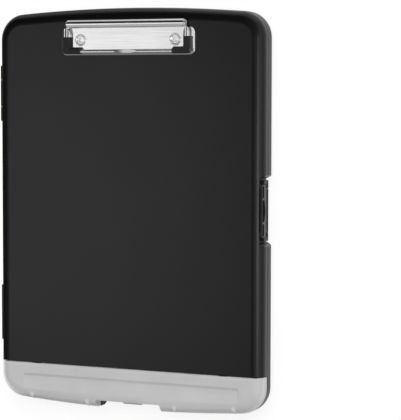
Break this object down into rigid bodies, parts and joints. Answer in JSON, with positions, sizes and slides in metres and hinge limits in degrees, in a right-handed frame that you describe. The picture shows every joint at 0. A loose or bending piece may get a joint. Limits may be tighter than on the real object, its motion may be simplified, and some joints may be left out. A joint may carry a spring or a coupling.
{
  "type": "storage clipboard box",
  "caption": "Flat storage clipboard: a spring clip on a cover that hinges like a book, a paper tray with a side latch, and a separate flip-up pen lid at the foot",
  "frame": {"origin": "middle of the flat back, on the surface that the closed case lies on", "axes": "+X from the cover's hinges to the side latch, +Y from the pen lid at the foot to the clip, +Z out of the writing face"},
  "size_m": [0.2518, 0.3396, 0.031],
  "materials": {
    "shell_black": "moulded black plastic with a fine satin grain",
    "lid_frosted": "frosted, slightly translucent pale grey plastic",
    "latch_black": "moulded black plastic",
    "clip_steel": "bright nickel-plated sheet steel",
    "pin_steel": "drawn steel wire",
    "spring_steel": "spring steel wire",
    "washer_steel": "zinc-plated steel",
    "pad_rubber": "black moulded rubber"
  },
  "bodies": {
    "tray": {"back_tray": "shell_black", "cover_pin_upper": "pin_steel", "cover_pin_lower": "pin_steel", "latch_pin": "pin_steel"},
    "cover": {"front_cover": "shell_black", "clip_base": "clip_steel", "clip_rod": "clip_steel", "clip_spring_left": "spring_steel", "clip_spring_right": "spring_steel", "clip_rivet_left": "clip_steel", "clip_rivet_right": "clip_steel", "rivet_washer_left": "washer_steel", "rivet_washer_right": "washer_steel"},
    "clip_jaw": {"clip_jaw": "clip_steel", "clip_pad_left": "pad_rubber", "clip_pad_right": "pad_rubber"},
    "pen_lid": {"pen_lid": "lid_frosted", "pen_pin_left": "pin_steel", "pen_pin_right": "pin_steel"},
    "side_latch": {"side_latch": "latch_black"}
  },
  "joints": [
    {"name": "cover_hinge", "type": "hinge", "parent": "tray", "child": "cover", "pos_m": [-0.1253, 0.0025, 0.0132], "axis": [0, -1, 0], "range_deg": [0, 170]},
    {"name": "pen_lid_hinge", "type": "hinge", "parent": "tray", "child": "pen_lid", "pos_m": [0, -0.1371, 0.0214], "axis": [-1, 0, 0], "range_deg": [0, 90]},
    {"name": "latch_hinge", "type": "hinge", "parent": "tray", "child": "side_latch", "pos_m": [0.1193, 0.0025, 0.0052], "axis": [0, 1, 0], "range_deg": [0, 90]},
    {"name": "clip_jaw_hinge", "type": "hinge", "parent": "cover", "child": "clip_jaw", "pos_m": [0.0012, 0.1565, 0.0275], "axis": [-1, 0, 0], "range_deg": [0, 50], "stiffness_Nm_per_rad": 0.08, "springref_deg": -45.84}
  ]
}
